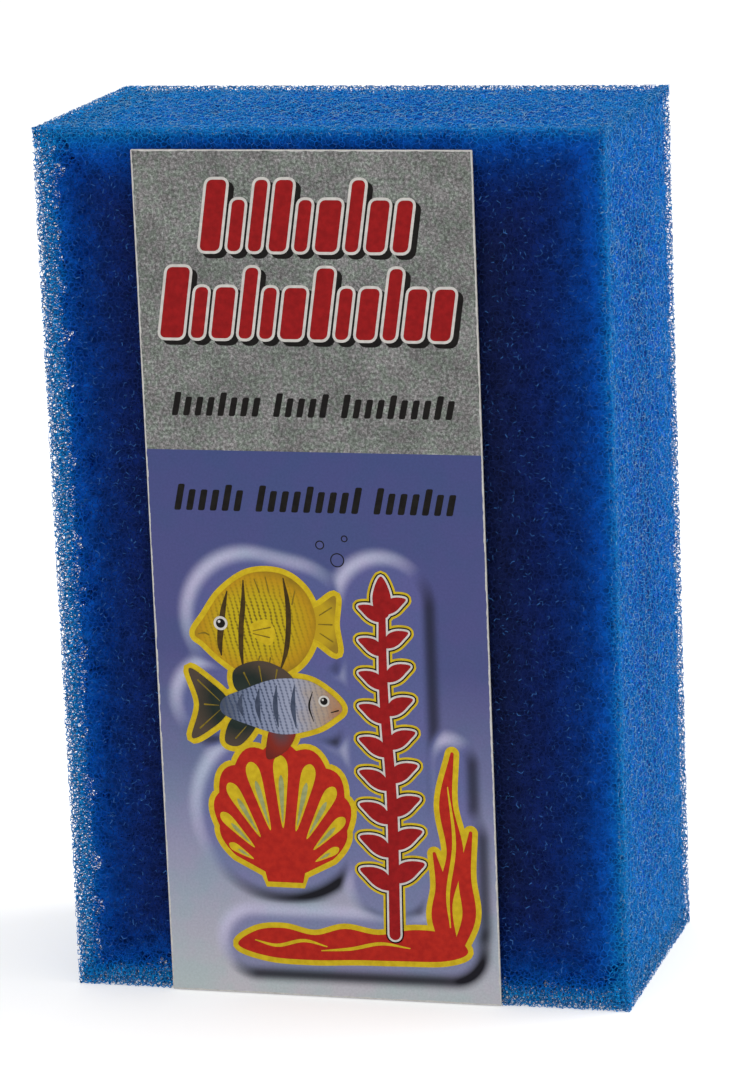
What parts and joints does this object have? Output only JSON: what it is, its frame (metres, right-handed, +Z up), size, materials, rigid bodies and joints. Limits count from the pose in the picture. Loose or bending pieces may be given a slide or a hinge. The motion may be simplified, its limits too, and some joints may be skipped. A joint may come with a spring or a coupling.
{
  "type": "aquarium filter sponge",
  "caption": "Upright block of blue open-cell filter foam with a flat printed card label glued to its front face.",
  "frame": {"origin": "on the ground, under the middle of the whole object's bounding box", "axes": "+Z up along the block's height, +X to the right as the label is read, -Y out of the labelled front face"},
  "size_m": [0.1, 0.0516, 0.153],
  "materials": {
    "filter_foam": "open-cell polyurethane foam, matte, dyed blue through and through",
    "printed_card": "thin printed card, slight satin",
    "label_glue": "clear amber hot-melt glue, hidden behind the card"
  },
  "bodies": {
    "root": {"foam_block": "filter_foam", "label_card": "printed_card", "label_glue": "label_glue"}
  },
  "joints": []
}
